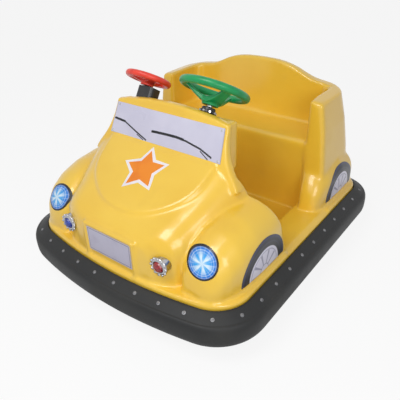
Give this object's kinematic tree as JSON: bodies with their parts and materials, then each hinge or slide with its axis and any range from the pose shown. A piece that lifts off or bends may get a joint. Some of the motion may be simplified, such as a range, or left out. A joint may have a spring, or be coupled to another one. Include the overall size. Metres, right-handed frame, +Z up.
{
  "type": "bumper car",
  "caption": "Bumper car with a rounded moulded body, a thick rubber bumper ring, a bench seat behind steering wheels on columns, and small steered road wheels under the skirt.",
  "frame": {"origin": "on the floor, below the middle of the overall box", "axes": "+X to the car's left, -Y to the front, +Z up"},
  "size_m": [1.16, 1.362, 0.8926],
  "materials": {
    "yellow_gelcoat": "glossy gel coat over glass fibre",
    "black_rubber": "satin black rubber",
    "dark_steel": "black painted steel",
    "cast_alloy": "cast alloy",
    "battery_case": "matt moulded case",
    "black_plastic": "matt black",
    "bright_steel": "brushed",
    "green_plastic": "glossy green",
    "red_plastic": "glossy red",
    "tyre": "matt black",
    "grey_plastic": "satin grey",
    "screen_print": "glossy pale printed sheet",
    "plate_print": "glossy blank plate",
    "chrome": "polished",
    "headlight_print": "glossy printed film",
    "wheel_print": "glossy printed film",
    "red_lens": "glossy red lens",
    "blue_lens": "glossy blue lens"
  },
  "bodies": {
    "root": {"front_body": "yellow_gelcoat", "dash_panel": "yellow_gelcoat", "floor_pan": "yellow_gelcoat", "seat_bench": "yellow_gelcoat", "rear_body": "yellow_gelcoat", "bumper_front": "black_rubber", "bumper_rear": "black_rubber", "chassis_frame": "dark_steel", "front_axle_beam": "dark_steel", "steering_post": "dark_steel", "rear_axle": "dark_steel", "battery_tray": "dark_steel", "steering_box": "cast_alloy", "drive_unit": "cast_alloy", "batteries": "battery_case", "foot_pedal": "black_plastic", "driver_collar": "black_plastic", "passenger_collar": "black_plastic", "windscreen": "screen_print", "number_plate": "plate_print", "left_lamp_bezel": "chrome", "left_headlight": "headlight_print", "left_wheel_prints": "wheel_print", "right_lamp_bezel": "chrome", "right_headlight": "headlight_print", "right_wheel_prints": "wheel_print", "left_lamp_lens": "red_lens", "right_lamp_lens": "blue_lens"},
    "driver_steering": {"driver_steering_wheel": "green_plastic", "driver_column": "bright_steel"},
    "passenger_steering": {"passenger_steering_wheel": "red_plastic", "passenger_column": "black_plastic"},
    "drop_arm": {"drop_arm": "dark_steel"},
    "left_knuckle": {"left_knuckle": "dark_steel"},
    "right_knuckle": {"right_knuckle": "dark_steel"},
    "tie_rod": {"tie_rod": "dark_steel"},
    "front_left_wheel": {"front_left_tyre": "tyre", "front_left_rim": "grey_plastic"},
    "front_right_wheel": {"front_right_tyre": "tyre", "front_right_rim": "grey_plastic"},
    "rear_left_wheel": {"rear_left_tyre": "tyre", "rear_left_rim": "grey_plastic"},
    "rear_right_wheel": {"rear_right_tyre": "tyre", "rear_right_rim": "grey_plastic"}
  },
  "joints": [
    {"name": "driver_steer", "type": "hinge", "parent": "root", "child": "driver_steering", "pos_m": [0.144, -0.118, 0.813], "axis": [0, 0.5299, 0.848], "range_deg": [-40, 40]},
    {"name": "passenger_turn", "type": "hinge", "parent": "root", "child": "passenger_steering", "pos_m": [-0.199, -0.108, 0.796], "axis": [0, 0.5299, 0.848], "continuous": true},
    {"name": "drop_arm_turn", "type": "hinge", "parent": "root", "child": "drop_arm", "pos_m": [0.144, -0.395, 0.1], "axis": [0, 0, 1], "range_deg": [-30, 30]},
    {"name": "left_steer", "type": "hinge", "parent": "root", "child": "left_knuckle", "pos_m": [0.314, -0.335, 0.1], "axis": [0, 0, 1], "range_deg": [-30, 30]},
    {"name": "right_steer", "type": "hinge", "parent": "root", "child": "right_knuckle", "pos_m": [-0.314, -0.335, 0.1], "axis": [0, 0, 1], "range_deg": [-30, 30]},
    {"name": "tie_rod_turn", "type": "hinge", "parent": "left_knuckle", "child": "tie_rod", "pos_m": [0.314, -0.415, 0.073], "axis": [0, 0, 1], "range_deg": [-30, 30]},
    {"name": "front_left_roll", "type": "hinge", "parent": "left_knuckle", "child": "front_left_wheel", "pos_m": [0.384, -0.335, 0.1], "axis": [1, 0, 0], "continuous": true},
    {"name": "front_right_roll", "type": "hinge", "parent": "right_knuckle", "child": "front_right_wheel", "pos_m": [-0.384, -0.335, 0.1], "axis": [1, 0, 0], "continuous": true},
    {"name": "rear_left_roll", "type": "hinge", "parent": "root", "child": "rear_left_wheel", "pos_m": [0.384, 0.375, 0.1], "axis": [1, 0, 0], "continuous": true},
    {"name": "rear_right_roll", "type": "hinge", "parent": "root", "child": "rear_right_wheel", "pos_m": [-0.384, 0.375, 0.1], "axis": [1, 0, 0], "continuous": true}
  ],
  "couplings": [
    {"joint": "drop_arm_turn", "follows": "driver_steer", "ratio": 0.75},
    {"joint": "left_steer", "follows": "driver_steer", "ratio": 0.75},
    {"joint": "right_steer", "follows": "driver_steer", "ratio": 0.75},
    {"joint": "tie_rod_turn", "follows": "driver_steer", "ratio": -0.75}
  ]
}
